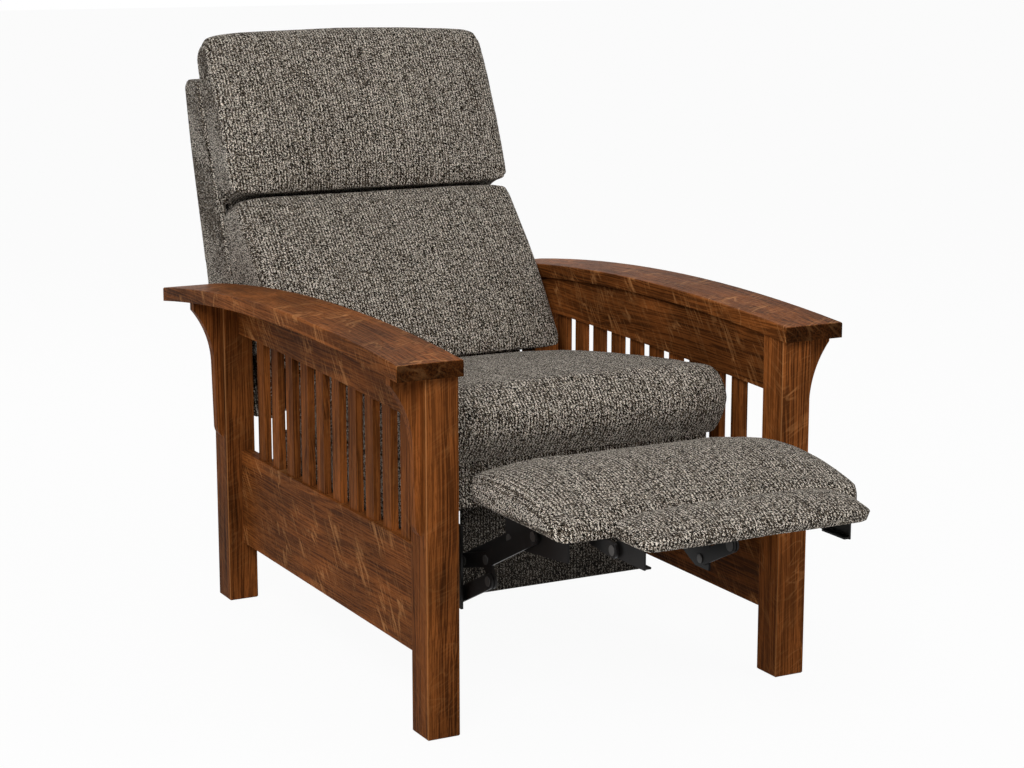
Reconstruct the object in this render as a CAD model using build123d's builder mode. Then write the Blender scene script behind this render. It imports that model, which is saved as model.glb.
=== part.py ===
from build123d import *
import os
from math import atan2, cos, degrees, radians, sin, sqrt

os.makedirs("parts", exist_ok=True)

# Millimetres, +Z up. The chair faces -Y and stands on Z = 0. Left is the side at -X.
sides = (("left", -1), ("right", 1))

# Wood frame
frame_width = 714.0
frame_depth = 914.4
leg_size = 57.15
edge_ease = 2.5
foot_chamfer = 2.0
arm_width = 114.3
arm_thickness = 25.4
arm_inset = 60.5
arm_front_overhang = 13.0
arm_rear_overhang = 120.0
arm_radius = 4900.0
arm_peak_height = 623.5
arm_peak_setback = 385.0
arm_end_ease = 3.0
panel_thickness = 22.0
panel_inset = 30.0
panel_bottom = 111.0
panel_top = 289.0
apron_front_depth = 96.1
apron_rear_depth = 63.3
apron_rise = 4.0
slat_count = 10
slat_width = 31.75
slat_thickness = 12.7
slat_pitch = 68.25
corbel_thickness = 19.0
corbel_projection = 50.0
corbel_lip = 15.0
corbel_waist_drop = 63.0
corbel_waist = 22.5
corbel_stem_drop = 120.0
corbel_stem = 12.0
corbel_foot_drop = 236.0
corbel_foot = 9.5
corbel_height = 258.0
rear_rail_top = 222.0

# Base channels and cross tubes
channel_height = 40.0
channel_flange = 17.0
channel_wall = 3.0
channel_middle = 262.0
channel_front_setback = 75.0
channel_rear_gap = 62.25
tube_size = 25.0
tube_middle = 181.0
tube_setback = 300.0
tube_spacing = 400.0
screw_head_radius = 5.0
screw_head_height = 2.0
channel_screw_inset = 51.0
front_screw_gap = 64.0
rear_screw_gap = 150.0

# Seat carriage; a point is a setback behind the front legs' front faces, and a height
seat_overhang = 3.0
seat_underside_front = (150.0, 402.0)
seat_underside_rear = (760.0, 340.0)
seat_top_rear = (738.0, 446.0)
seat_top_front = (172.0, 520.0)
seat_nose = (106.0, 472.0)
seat_rear_bulge = 8.0
seat_top_bulge = 8.0
seat_top_crown = 8.0
seat_nose_bulge = 16.0
seat_chin_bulge = 7.0
soft_gap = 0.4
rail_gap = 8.0
rail_thickness = 40.0
rail_bottom = 246.0
rail_rear_gap = 34.0
rail_ease = 5.0
front_rail_setback = 194.0
front_rail_thickness = 36.0
front_rail_bottom = 312.0
front_panel_inset = 99.0
front_panel_thickness = 8.0
front_panel_bottom = 160.0
front_panel_top = 372.0
rear_seat_rail_thickness = 25.0
rear_seat_rail_bottom = 290.0
strap_count = 5
strap_width = 50.0
strap_thickness = 2.5
strap_side_gap = 64.0
shoe_length = 60.0
shoe_clearance = 0.4
shoe_width = 12.6
shoe_front_setback = 268.0
shoe_end_room = 300.0
shoe_pin_radius = 6.0

# Side plates and the footrest linkage, in planes side by side
plate_thickness = 4.0
plane_gap = 2.0
link_width = 25.0
pin_radius = 5.0
pin_clearance = 0.05
loose_clearance = 2.6
shoulder_radius = 8.0
loose_head_radius = 10.5
rivet_head_height = 1.4
rivet_gap = 0.3
swing_base = (200.0, 225.85)
rear_base = (132.61, 186.6)
swing_upper = (140.77, 241.72)
swing_end = (50.51, 265.9)
rear_end = (32.05, 235.77)
bracket_front = (-107.67, 342.8)
bracket_rear = (-17.67, 316.21)
plate_front_setback = 115.0
plate_toe_setback = 158.0
plate_toe_bottom = 168.0
plate_heel_setback = 235.0
plate_heel_bottom = 205.0
plate_waist_setback = 330.0
plate_bottom = 250.0
plate_top_front = 308.0
plate_step_setback = 238.0
plate_top = 332.0
plate_tail_run = 48.0
plate_screw_count = 6
recline_pivot = (820.0, 395.0)
recline_ear_radius = 22.0
recline_pin_radius = 8.0
recline_head_radius = 13.0
recline_head_height = 3.0

# Footrest and flipper
pad_inset = 10.0
pad_rear_setback = 28.0
pad_front_setback = -263.0
pad_rear_top = 420.0
pad_front_top = 402.0
pad_end_bulge = 6.0
pad_top_bulge = 19.0
pad_top_crown = 15.0
board_side_inset = 14.0
board_thickness = 12.0
board_inset = 6.0
board_corner = 25.0
board_bottom = 372.0
flipper_inset = 66.0
flipper_rear_setback = -292.0
flipper_front_setback = -392.0
flipper_rear_top = 414.0
flipper_front_top = 403.0
flipper_board_bottom = 379.4
flipper_board_thickness = 9.0
flipper_board_inset = 8.0
flipper_board_corner = 22.0
flipper_end_bulge = 6.0
flipper_rear_bulge = 4.0
flipper_top_bulge = 7.0
flipper_top_crown = 7.0
flipper_pivot = (-279.0, 358.0)
flipper_arm_inset = 21.5
flipper_arm_thickness = 3.0
flipper_arm_bottom = 346.0
flipper_arm_setback = -358.0
flipper_lip = 9.0
flipper_lip_rise = 1.0
flipper_flange = 22.0
ear_radius = 12.0
ear_thickness = 5.0
ear_rear_setback = -212.0
ear_front_setback = -250.0
ear_depth = 20.0
bracket_nose_setback = -203.0
bracket_nose_bottom = 323.0
bracket_flange = 22.0
bracket_flange_thickness = 3.0

# Back, measured along and behind the leaning front face of its frame
back_foot = (872.0, 345.0)
back_lean = radians(22.7)
back_gap = 6.5
frame_height = 655.0
stile_inset = 8.0
stile_width = 32.0
stile_thickness = 20.0
top_rail_height = 70.0
bottom_rail_slope = 130.0
bottom_rail_height = 110.0
shell_clearance = 0.3
shell_top_slope = 666.0
shell_bottom_rear = (1056.0, 346.0)
shell_rear_top = (1204.0, 936.0)
shell_crest_rear = (1178.0, 962.0)
shell_rear_bulge = 6.0
shell_crest_bulge = 6.0
shell_ease = 12.0
shell_edge_least = 240.0
lumbar_bottom_slope = 118.0
lumbar_top_slope = 408.0
lumbar_front_bottom = (713.0, 457.5)
lumbar_front_top = (946.0, 752.0)
lumbar_bottom_bulge = 1.0
lumbar_front_bulge = 12.0
lumbar_front_crown = 10.0
head_bottom_slope = 412.0
head_top_slope = 672.0
head_front_bottom = (950.0, 757.0)
head_front_top = (1074.0, 1022.0)
head_crest = (1108.0, 1040.0)
head_rear_top = (1143.0, 1010.0)
head_front_bulge = 10.0
head_front_crown = 10.0
head_rear_bulge = 2.0
head_crest_bulge = 8.0
seam_bulge = 5.0
hinge_gap = 1.0
hinge_plate_slope = 12.0
hinge_plate_height = 92.0

# Shares of a soft piece's half width, of its depth, its height and its crown at that place
cushion_shares = ((1.0, 0.87, 0.87, 0.0), (0.985, 0.93, 0.93, 0.06), (0.95, 0.97, 0.97, 0.18),
                  (0.88, 0.99, 0.99, 0.38), (0.74, 1.0, 1.0, 0.66), (0.52, 1.0, 1.0, 0.86),
                  (0.26, 1.0, 1.0, 0.97), (0.0, 1.0, 1.0, 1.0))
pad_shares = ((1.0, 0.82, 0.42, 0.0), (0.985, 0.91, 0.56, 0.06), (0.95, 0.965, 0.69, 0.18),
              (0.88, 0.99, 0.81, 0.38), (0.74, 1.0, 0.93, 0.66), (0.52, 1.0, 0.985, 0.86),
              (0.26, 1.0, 1.0, 0.97), (0.0, 1.0, 1.0, 1.0))
flipper_shares = ((1.0, 0.66, 0.45, 0.0), (0.98, 0.80, 0.6, 0.06), (0.94, 0.90, 0.72, 0.18),
                  (0.87, 0.97, 0.84, 0.38), (0.74, 1.0, 0.94, 0.66), (0.52, 1.0, 0.985, 0.86),
                  (0.26, 1.0, 1.0, 0.97), (0.0, 1.0, 1.0, 1.0))
corbel_toe_share = 0.8

cushion_reach = flipper_front_setback - flipper_end_bulge
front = -(cushion_reach + shell_rear_top[0]) / 2
leg_x = (frame_width - leg_size) / 2
leg_inner = frame_width / 2 - leg_size
rear_leg_y = front + frame_depth - leg_size / 2
front_leg_y = front + leg_size / 2
inner_front = front + leg_size
inner_rear = front + frame_depth - leg_size
panel_outer = frame_width / 2 - panel_inset
panel_inner = panel_outer - panel_thickness
arm_front_y = front - arm_front_overhang
arm_rear_y = front + frame_depth + arm_rear_overhang
arm_centre_y = front + arm_peak_setback
arm_centre_z = arm_peak_height - arm_radius
arm_inner_half = frame_width / 2 - arm_inset
channel_length = frame_depth - leg_size - channel_front_setback - channel_rear_gap
shoe_spacing = channel_length - shoe_end_room
rail_half = panel_inner - channel_flange - rail_gap
rail_inner = rail_half - rail_thickness
strap_pitch = 2 * (rail_inner - strap_side_gap) / (strap_count - 1)
rail_rear_setback = recline_pivot[0] - rail_rear_gap
plate_tail_setback = recline_pivot[0] - plate_tail_run
seat_half = rail_half + seat_overhang
back_half = arm_inner_half - back_gap
pad_half = rail_half - pad_inset
board_half = pad_half - board_side_inset
flipper_half = pad_half - flipper_inset
flipper_arm_half = flipper_half - flipper_arm_inset
front_panel_half = rail_half - front_panel_inset
stile_outer_half = rail_half - stile_inset
hinge_plate_half = rail_inner - plate_thickness - hinge_gap
cut_overrun = 40.0


def keep(builder, name):
    builder.part.label = name
    export_step(builder.part, f"parts/{name}.step")


def placed(point):
    # Turns a setback and a height into Y and Z
    return (front + point[0], point[1])


def back_point(slope, depth):
    # A point of the YZ plane, by its way up the back's front face and its depth behind it
    return (front + back_foot[0] + slope * sin(back_lean) + depth * cos(back_lean),
            back_foot[1] + slope * cos(back_lean) - depth * sin(back_lean))


def bulged(start, end, rise):
    # The crest of an arc that stands out to the right of the way from start to end
    run_y = end[0] - start[0]
    run_z = end[1] - start[1]
    reach = sqrt(run_y**2 + run_z**2)
    return ((start[0] + end[0]) / 2 + run_z / reach * rise, (start[1] + end[1]) / 2 - run_y / reach * rise)


def soft_piece(name, corners, bulges, crowns, half, shares):
    # Lofts a cushion across X; the face from the first corner to the second stays flat
    middle = ((corners[0][0] + corners[1][0]) / 2, (corners[0][1] + corners[1][1]) / 2)
    stations = [(-share[0], *share[1:]) for share in shares] + list(reversed(shares[:-1]))
    with BuildPart() as piece:
        for across_share, depth_share, height_share, crown_share in stations:
            points = [(middle[0] + (y - middle[0]) * depth_share, middle[1] + (z - middle[1]) * height_share)
                      for y, z in corners]
            with BuildSketch(Plane.YZ.offset(across_share * half)):
                with BuildLine():
                    Line(points[0], points[1])
                    for number in range(1, len(points)):
                        start = points[number]
                        end = points[(number + 1) % len(points)]
                        rise = bulges[number - 1] * height_share + crowns[number - 1] * crown_share
                        ThreePointArc(start, bulged(start, end, rise), end)
                make_face()
        loft(ruled=True)
    keep(piece, name)


def bar(start, end, width):
    # A round-ended bar from one pivot to the next, for a sketch in the YZ plane
    run_y = end[0] - start[0]
    run_z = end[1] - start[1]
    with Locations(((start[0] + end[0]) / 2, (start[1] + end[1]) / 2)):
        SlotCenterToCenter(sqrt(run_y**2 + run_z**2), width, rotation=degrees(atan2(run_z, run_y)))


def disc(side, centre, radius, span):
    # A cylinder along X between two distances from the middle
    with BuildSketch(Plane.YZ.offset(side * span[0])) as round_face:
        with Locations(centre):
            Circle(radius)
    extrude(round_face.sketch, amount=side * (span[1] - span[0]))


def rivet(side, centre, own, other, radius, head_radius, far_head_radius, head_height):
    # A headed pin held in its own plate, with a shoulder, that turns in the other plate
    outward = 1 if other[0] > own[0] else -1
    own_back, own_front = (min(own), max(own)) if outward > 0 else (max(own), min(own))
    other_front, other_back = (min(other), max(other)) if outward > 0 else (max(other), min(other))
    tip = other_back + outward * (rivet_gap + head_height)
    disc(side, centre, radius, (own_back, tip))
    disc(side, centre, head_radius, (own_back - outward * head_height, own_back))
    disc(side, centre, shoulder_radius * radius / pin_radius, (own_front, other_front - outward * rivet_gap))
    disc(side, centre, far_head_radius, (other_back + outward * rivet_gap, tip))


def underside(y):
    # Height of the seat cushion's flat underside
    run = seat_underside_rear[0] - seat_underside_front[0]
    rise = seat_underside_rear[1] - seat_underside_front[1]
    return seat_underside_front[1] + (y - front - seat_underside_front[0]) * rise / run


def arc_height(y, radius):
    return arm_centre_z + sqrt(radius**2 - (y - arm_centre_y) ** 2)


def arm_arc(y_from, y_to, radius):
    middle = (y_from + y_to) / 2
    return [(y, arc_height(y, radius)) for y in (y_from, middle, y_to)]


def apron_arc():
    under_front = arc_height(inner_front, arm_radius - arm_thickness) - apron_front_depth
    under_rear = arc_height(inner_rear, arm_radius - arm_thickness) - apron_rear_depth
    return [(inner_front, under_front),
            ((inner_front + inner_rear) / 2, (under_front + under_rear) / 2 + apron_rise),
            (inner_rear, under_rear)]


def trim_above(arc):
    # Cuts away what stands above an arc given by three points in the YZ plane
    top = arm_peak_height + cut_overrun
    with BuildSketch(Plane.YZ) as waste:
        with BuildLine():
            ThreePointArc(*arc)
            Polyline(arc[2], (arc[2][0], top), (arc[0][0], top), arc[0])
        make_face()
    extrude(waste.sketch, amount=frame_width, both=True, mode=Mode.SUBTRACT)


under_arm = arm_arc(arm_front_y, arm_rear_y, arm_radius - arm_thickness)

# Legs, with their tops cut to the bow of the arm
for side_name, side in sides:
    for end_name, leg_y in (("front", front_leg_y), ("rear", rear_leg_y)):
        with BuildPart() as leg:
            with BuildSketch(Plane.XY):
                with Locations((side * leg_x, leg_y)):
                    Rectangle(leg_size, leg_size)
            extrude(amount=arm_peak_height)
            fillet(leg.edges().filter_by(Axis.Z), edge_ease)
            chamfer(leg.faces().sort_by(Axis.Z)[0].edges(), foot_chamfer)
            trim_above(under_arm)
        keep(leg, f"{end_name}_{side_name}_leg")

# Bowed arms
arm_x = arm_inner_half + arm_width / 2
for side_name, side in sides:
    with BuildPart() as arm:
        top_arc = arm_arc(arm_front_y, arm_rear_y, arm_radius)
        with BuildSketch(Plane.YZ.offset(side * arm_x)):
            with BuildLine():
                ThreePointArc(*top_arc)
                Line(top_arc[2], under_arm[2])
                ThreePointArc(*under_arm)
                Line(under_arm[0], top_arc[0])
            make_face()
        extrude(amount=arm_width / 2, both=True)
        fillet(arm.edges().filter_by(Axis.Z), arm_end_ease)
        top_face = arm.faces().sort_by(Axis.Z)[-1]
        fillet(top_face.edges(), arm_end_ease)
    keep(arm, f"{side_name}_arm")

# Lower side panels
for side_name, side in sides:
    panel_x = side * (panel_outer + panel_inner) / 2
    with BuildPart() as side_panel:
        with BuildSketch(Plane.XY.offset(panel_bottom)):
            with Locations((panel_x, (inner_front + inner_rear) / 2)):
                Rectangle(panel_thickness, inner_rear - inner_front)
        extrude(amount=panel_top - panel_bottom)
    keep(side_panel, f"{side_name}_side_panel")

# Aprons under the arms
for side_name, side in sides:
    panel_x = side * (panel_outer + panel_inner) / 2
    with BuildPart() as apron:
        upper = arm_arc(inner_front, inner_rear, arm_radius - arm_thickness)
        lower = apron_arc()
        with BuildSketch(Plane.YZ.offset(panel_x)):
            with BuildLine():
                ThreePointArc(*lower)
                Line(lower[2], upper[2])
                ThreePointArc(*upper)
                Line(upper[0], lower[0])
            make_face()
        extrude(amount=panel_thickness / 2, both=True)
    keep(apron, f"{side_name}_apron")

# Slats between panel and apron
for side_name, side in sides:
    panel_x = side * (panel_outer + panel_inner) / 2
    with BuildPart() as slats:
        with BuildSketch(Plane.XY.offset(panel_top)):
            with Locations((panel_x, (inner_front + inner_rear) / 2)):
                with GridLocations(slat_pitch, slat_pitch, 1, slat_count):
                    Rectangle(slat_thickness, slat_width)
        extrude(amount=arm_peak_height - panel_top)
        trim_above(apron_arc())
    keep(slats, f"{side_name}_slats")

# Corbels on the outer faces of the legs
for side_name, side in sides:
    for end_name, leg_y in (("front", front_leg_y), ("rear", rear_leg_y)):
        crest = max(arc_height(leg_y + reach, arm_radius - arm_thickness)
                    for reach in (-corbel_thickness / 2, corbel_thickness / 2))
        leg_face = side * frame_width / 2

        def profile_point(projection, drop):
            return (leg_face + side * projection, crest - drop)

        with BuildPart() as corbel:
            with BuildSketch(Plane.XZ.offset(-leg_y)):
                with BuildLine():
                    Polyline(profile_point(0, corbel_height), profile_point(0, 0),
                             profile_point(corbel_projection, 0),
                             profile_point(corbel_projection, corbel_lip))
                    ThreePointArc(profile_point(corbel_projection, corbel_lip),
                                  profile_point(corbel_waist, corbel_waist_drop),
                                  profile_point(corbel_stem, corbel_stem_drop))
                    Line(profile_point(corbel_stem, corbel_stem_drop),
                         profile_point(corbel_foot, corbel_foot_drop))
                    toe_drop = (corbel_foot_drop + corbel_height) / 2
                    ThreePointArc(profile_point(corbel_foot, corbel_foot_drop),
                                  profile_point(corbel_foot * corbel_toe_share, toe_drop),
                                  profile_point(0, corbel_height))
                make_face()
            extrude(amount=corbel_thickness / 2, both=True)
            trim_above(under_arm)
        keep(corbel, f"{end_name}_{side_name}_corbel")

# Rear rail between the rear legs
with BuildPart() as rear_rail:
    with BuildSketch(Plane.XY.offset(panel_bottom)):
        with Locations((0, rear_leg_y)):
            Rectangle(2 * leg_inner, panel_thickness)
    extrude(amount=rear_rail_top - panel_bottom)
keep(rear_rail, "rear_rail")

# Steel channels screwed inside the side panels
channel_front_y = front + channel_front_setback
channel_web_inner = panel_inner - channel_wall
with BuildPart() as base_channels:
    for side_name, side in sides:
        with BuildSketch(Plane.XZ.offset(-channel_front_y)):
            with Locations((side * (panel_inner - channel_flange / 2), channel_middle)):
                Rectangle(channel_flange, channel_height)
            with Locations((side * (channel_web_inner - channel_flange / 2), channel_middle)):
                Rectangle(channel_flange, channel_height - 2 * channel_wall, mode=Mode.SUBTRACT)
        extrude(amount=-channel_length)
keep(base_channels, "base_channels")

channel_rear_y = channel_front_y + channel_length
shoe_places = [front + shoe_front_setback + number * shoe_spacing for number in range(2)]
screw_places = (channel_front_y + channel_screw_inset, shoe_places[0] + front_screw_gap,
                shoe_places[1] - rear_screw_gap, channel_rear_y - channel_screw_inset)
with BuildPart() as channel_screws:
    for side_name, side in sides:
        for screw_y in screw_places:
            with BuildSketch(Plane.YZ.offset(side * channel_web_inner)):
                with Locations((screw_y, channel_middle)):
                    Circle(screw_head_radius)
            extrude(amount=-side * screw_head_height)
keep(channel_screws, "channel_screws")

# Square cross tubes between the side panels
with BuildPart() as cross_tubes:
    for tube_y in (front + tube_setback, front + tube_setback + tube_spacing):
        with BuildSketch(Plane.YZ.offset(-panel_inner)):
            with Locations((tube_y, tube_middle)):
                Rectangle(tube_size, tube_size)
                Rectangle(tube_size - 2 * channel_wall, tube_size - 2 * channel_wall, mode=Mode.SUBTRACT)
        extrude(amount=2 * panel_inner)
keep(cross_tubes, "cross_tubes")

# Seat cushion
seat_corners = [placed(point) for point in (seat_underside_front, seat_underside_rear, seat_top_rear,
                                            seat_top_front, seat_nose)]
soft_piece("seat_cushion", seat_corners,
           (seat_rear_bulge, seat_top_bulge, seat_nose_bulge, seat_chin_bulge),
           (0, seat_top_crown, 0, 0), seat_half, cushion_shares)

# Seat carriage rails; their tops carry the webbing and follow the cushion's underside
front_rail_y = front + front_rail_setback
rail_front_y = front_rail_y + front_rail_thickness
rail_rear_y = front + rail_rear_setback
webbing_drop = soft_gap + strap_thickness
for side_name, side in sides:
    with BuildPart() as seat_rail:
        with BuildSketch(Plane.YZ.offset(side * rail_inner)):
            with BuildLine():
                Polyline((rail_front_y, rail_bottom), (rail_rear_y, rail_bottom),
                         (rail_rear_y, underside(rail_rear_y) - soft_gap),
                         (rail_front_y, underside(rail_front_y) - soft_gap), close=True)
            make_face()
        extrude(amount=side * rail_thickness)
        outer_face = seat_rail.faces().sort_by(Axis.X)[-1 if side > 0 else 0]
        fillet(outer_face.edges().sort_by(Axis.Z)[0], rail_ease)
    keep(seat_rail, f"{side_name}_seat_rail")

with BuildPart() as front_rail:
    with BuildSketch(Plane.YZ.offset(-rail_half)):
        with BuildLine():
            Polyline((front_rail_y, front_rail_bottom), (rail_front_y, front_rail_bottom),
                     (rail_front_y, underside(rail_front_y) - webbing_drop),
                     (front_rail_y, underside(front_rail_y) - webbing_drop), close=True)
        make_face()
    extrude(amount=2 * rail_half)
    border_face = front_rail.faces().sort_by(Axis.Y)[0]
    fillet(border_face.edges(), rail_ease)
keep(front_rail, "front_rail")

rear_rail_y = rail_rear_y - rear_seat_rail_thickness
with BuildPart() as rear_seat_rail:
    with BuildSketch(Plane.YZ.offset(plate_thickness - rail_inner)):
        with BuildLine():
            Polyline((rear_rail_y, rear_seat_rail_bottom), (rail_rear_y, rear_seat_rail_bottom),
                     (rail_rear_y, underside(rail_rear_y) - webbing_drop),
                     (rear_rail_y, underside(rear_rail_y) - webbing_drop), close=True)
        make_face()
    extrude(amount=2 * (rail_inner - plate_thickness))
keep(rear_seat_rail, "rear_seat_rail")

with BuildPart() as seat_webbing:
    for number in range(strap_count):
        strap_x = (number - (strap_count - 1) / 2) * strap_pitch
        strap_front_y = front_rail_y + rail_ease
        with BuildSketch(Plane.YZ.offset(strap_x)) as strap_side:
            with BuildLine():
                Polyline((strap_front_y, underside(strap_front_y) - webbing_drop),
                         (rail_rear_y, underside(rail_rear_y) - webbing_drop),
                         (rail_rear_y, underside(rail_rear_y) - soft_gap),
                         (strap_front_y, underside(strap_front_y) - soft_gap), close=True)
            make_face()
        extrude(strap_side.sketch, amount=strap_width / 2, both=True)
keep(seat_webbing, "seat_webbing")

with BuildPart() as front_panel:
    with BuildSketch(Plane.XZ.offset(-rail_front_y)):
        with Locations((0, (front_panel_bottom + front_panel_top) / 2)):
            Rectangle(2 * front_panel_half, front_panel_top - front_panel_bottom)
    extrude(amount=-front_panel_thickness)
keep(front_panel, "front_panel")

# Glide shoes in the channels, and their pins from the rails
shoe_outer_half = channel_web_inner - shoe_clearance
shoe_inner_half = shoe_outer_half - shoe_width
with BuildPart() as glide_shoes:
    for side_name, side in sides:
        with BuildSketch(Plane.YZ.offset(side * shoe_inner_half)) as shoe_face:
            with Locations(*[(y, channel_middle) for y in shoe_places]):
                Rectangle(shoe_length, channel_height - 2 * (channel_wall + shoe_clearance))
        extrude(shoe_face.sketch, amount=side * (shoe_outer_half - shoe_inner_half))
keep(glide_shoes, "glide_shoes")

with BuildPart() as shoe_pins:
    for side_name, side in sides:
        for y in shoe_places:
            disc(side, (y, channel_middle), shoe_pin_radius, (rail_half, shoe_inner_half))
keep(shoe_pins, "shoe_pins")

# Planes of the plate and links, outermost first, as spans of distance from the middle
plate_span = (rail_inner, rail_inner - plate_thickness)
plane_step = plate_thickness + plane_gap
plane_faces = [rail_inner - number * plane_step for number in range(1, 5)]
rear_span, long_span, swing_span, upper_span = [(face, face - plate_thickness) for face in plane_faces]
hinge_span = (hinge_plate_half, hinge_plate_half - plate_thickness)
swing_base_y = placed(swing_base)
rear_base_y = placed(rear_base)
swing_upper_y = placed(swing_upper)
swing_end_y = placed(swing_end)
rear_end_y = placed(rear_end)
bracket_front_y = placed(bracket_front)
bracket_rear_y = placed(bracket_rear)
recline_y = placed(recline_pivot)
running_radius = pin_radius + pin_clearance
loose_radius = pin_radius + loose_clearance

# Side plates inside the rails, from the linkage's pivots to the back's hinge
for side_name, side in sides:
    with BuildPart() as side_plate:
        with BuildSketch(Plane.YZ.offset(side * plate_span[1])):
            with BuildLine():
                Polyline(*[placed(point) for point in (
                    (plate_front_setback, plate_top_front), (plate_front_setback, plate_toe_bottom),
                    (plate_toe_setback, plate_toe_bottom), (plate_heel_setback, plate_heel_bottom),
                    (plate_waist_setback, plate_bottom), (plate_tail_setback, plate_bottom),
                    (plate_tail_setback, plate_top), (plate_step_setback, plate_top),
                    (plate_step_setback, plate_top_front))], close=True)
            make_face()
            ear_root = placed((plate_tail_setback, plate_top - recline_ear_radius))
            bar(ear_root, recline_y, 2 * recline_ear_radius)
            with Locations(swing_base_y, rear_base_y):
                Circle(pin_radius, mode=Mode.SUBTRACT)
            with Locations(recline_y):
                Circle(recline_pin_radius, mode=Mode.SUBTRACT)
        extrude(amount=side * plate_thickness)
    keep(side_plate, f"{side_name}_side_plate")

with BuildPart() as plate_screws:
    for side_name, side in sides:
        for number in range(plate_screw_count):
            screw_run = rail_rear_setback - plate_waist_setback
            screw_y = front + plate_waist_setback + screw_run * number / plate_screw_count
            screw_z = (plate_bottom + plate_top) / 2
            screw_span = (plate_span[1], plate_span[1] - screw_head_height)
            disc(side, (screw_y, screw_z), screw_head_radius, screw_span)
keep(plate_screws, "plate_screws")

# Pins fixed in the side plates: two linkage pivots and the back's hinge on each side
with BuildPart() as plate_pins:
    for side_name, side in sides:
        rivet(side, swing_base_y, plate_span, swing_span, pin_radius, shoulder_radius, shoulder_radius,
              rivet_head_height)
        rivet(side, rear_base_y, plate_span, rear_span, pin_radius, shoulder_radius, shoulder_radius,
              rivet_head_height)
        rivet(side, recline_y, plate_span, hinge_span, recline_pin_radius, recline_head_radius,
              recline_head_radius, recline_head_height)
keep(plate_pins, "plate_pins")

# Swing links, driven, from the plate's upper pivot
for side_name, side in sides:
    with BuildPart() as swing_link:
        with BuildSketch(Plane.YZ.offset(side * swing_span[1])):
            bar(swing_end_y, swing_base_y, link_width)
            with Locations(swing_base_y):
                Circle(running_radius, mode=Mode.SUBTRACT)
            with Locations(swing_upper_y, swing_end_y):
                Circle(pin_radius, mode=Mode.SUBTRACT)
        extrude(amount=side * plate_thickness)
    keep(swing_link, f"{side_name}_swing_link")

with BuildPart() as swing_rivets:
    for side_name, side in sides:
        rivet(side, swing_end_y, swing_span, long_span, pin_radius, shoulder_radius, shoulder_radius,
              rivet_head_height)
        rivet(side, swing_upper_y, swing_span, upper_span, pin_radius, shoulder_radius, shoulder_radius,
              rivet_head_height)
keep(swing_rivets, "swing_rivets")

# Rear links, from the plate's lower pivot
for side_name, side in sides:
    with BuildPart() as rear_link:
        with BuildSketch(Plane.YZ.offset(side * rear_span[1])):
            bar(rear_end_y, rear_base_y, link_width)
            with Locations(rear_base_y):
                Circle(running_radius, mode=Mode.SUBTRACT)
            with Locations(rear_end_y):
                Circle(pin_radius, mode=Mode.SUBTRACT)
        extrude(amount=side * plate_thickness)
    keep(rear_link, f"{side_name}_rear_link")

with BuildPart() as rear_link_rivets:
    for side_name, side in sides:
        rivet(side, rear_end_y, rear_span, long_span, pin_radius, shoulder_radius, loose_head_radius,
              rivet_head_height)
keep(rear_link_rivets, "rear_link_rivets")

# Long links, bent at the swing link's end, out to the footrest bracket
for side_name, side in sides:
    with BuildPart() as long_link:
        with BuildSketch(Plane.YZ.offset(side * long_span[1])):
            bar(bracket_front_y, swing_end_y, link_width)
            bar(swing_end_y, rear_end_y, link_width)
            with Locations(swing_end_y, bracket_front_y):
                Circle(running_radius, mode=Mode.SUBTRACT)
            with Locations(rear_end_y):
                Circle(loose_radius, mode=Mode.SUBTRACT)
        extrude(amount=side * plate_thickness)
    keep(long_link, f"{side_name}_long_link")

# Upper links, from the swing link to the bracket's rear pivot
for side_name, side in sides:
    with BuildPart() as upper_link:
        with BuildSketch(Plane.YZ.offset(side * upper_span[1])):
            bar(bracket_rear_y, swing_upper_y, link_width)
            with Locations(swing_upper_y):
                Circle(running_radius, mode=Mode.SUBTRACT)
            with Locations(bracket_rear_y):
                Circle(loose_radius, mode=Mode.SUBTRACT)
        extrude(amount=side * plate_thickness)
    keep(upper_link, f"{side_name}_upper_link")

# Footrest brackets, with a flange under the board
bracket_rear_end = bracket_rear_y[0] + link_width / 2
bracket_front_end = front + bracket_nose_setback
for side_name, side in sides:
    with BuildPart() as bracket:
        with BuildSketch(Plane.YZ.offset(side * swing_span[1])):
            with Locations(bracket_front_y, bracket_rear_y):
                Circle(link_width / 2)
            with BuildLine():
                Polyline((bracket_front_end, bracket_nose_bottom), (bracket_front_end, board_bottom),
                         (bracket_rear_end, board_bottom), bracket_rear_y, bracket_front_y, close=True)
            make_face()
            make_hull()
            with Locations(bracket_front_y, bracket_rear_y):
                Circle(pin_radius, mode=Mode.SUBTRACT)
        extrude(amount=side * plate_thickness)
        bracket_middle = (bracket_front_end + bracket_rear_end) / 2
        with BuildSketch(Plane.XY.offset(board_bottom)):
            with Locations((side * (swing_span[1] - bracket_flange / 2), bracket_middle)):
                Rectangle(bracket_flange, bracket_rear_end - bracket_front_end)
        extrude(amount=-bracket_flange_thickness)
    keep(bracket, f"{side_name}_footrest_bracket")

# Footrest board, and the two ears under its front edge that carry the flipper
board_top = board_bottom + board_thickness
board_rear_y = front + pad_rear_setback - board_inset
board_front_y = front + pad_front_setback + board_inset
with BuildPart() as footrest_board:
    with BuildSketch(Plane.XY.offset(board_bottom)):
        with Locations((0, (board_rear_y + board_front_y) / 2)):
            RectangleRounded(2 * board_half, board_rear_y - board_front_y, board_corner)
    extrude(amount=board_thickness)
keep(footrest_board, "footrest_board")

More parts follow.
